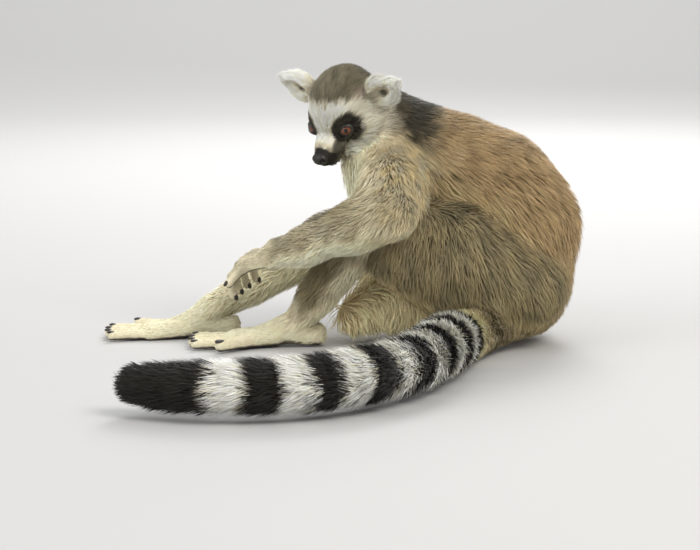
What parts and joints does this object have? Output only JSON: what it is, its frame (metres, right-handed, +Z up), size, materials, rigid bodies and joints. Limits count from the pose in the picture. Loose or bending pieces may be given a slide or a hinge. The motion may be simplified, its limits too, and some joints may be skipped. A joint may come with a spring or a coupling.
{
  "type": "ring-tailed lemur",
  "caption": "Life-size still model of a ring-tailed lemur sitting hunched, head turned aside, one hand on its shin, banded tail laid on the floor.",
  "frame": {"origin": "on the floor under the seat, on the flat of the rump", "axes": "+Z up; the body faces -X; the animal's left side is towards -Y"},
  "size_m": [0.4109, 0.4966, 0.2383],
  "materials": {
    "coat_brown": "dense woolly fur, brown-grey, matt",
    "coat_grey": "dense woolly fur, grey, matt",
    "coat_pale": "short cream-white fur, matt",
    "coat_dark": "dark grey fur of the neck, matt",
    "coat_ringed": "long fur of the tail in black and white rings, matt",
    "bare_black": "bare black skin, slightly moist",
    "eye": "amber iris under a clear wet cornea"
  },
  "bodies": {
    "root": {"head": "coat_pale", "nose": "bare_black", "eye_left": "eye", "eye_right": "eye", "ear_left": "coat_pale", "ear_right": "coat_pale", "neck": "coat_dark", "chest": "coat_brown", "back": "coat_brown", "belly": "coat_pale", "rump": "coat_grey", "upper_arm_left": "coat_grey", "forearm_left": "coat_grey", "hand_left": "coat_pale", "thigh_left": "coat_grey", "shin_left": "coat_grey", "foot_left": "coat_pale", "upper_arm_right": "coat_grey", "forearm_right": "coat_grey", "hand_right": "coat_pale", "thigh_right": "coat_grey", "shin_right": "coat_grey", "foot_right": "coat_pale", "tail_1": "coat_ringed", "tail_2": "coat_ringed", "tail_3": "coat_ringed", "tail_4": "coat_ringed", "tail_5": "coat_ringed", "tail_6": "coat_ringed"}
  },
  "joints": []
}
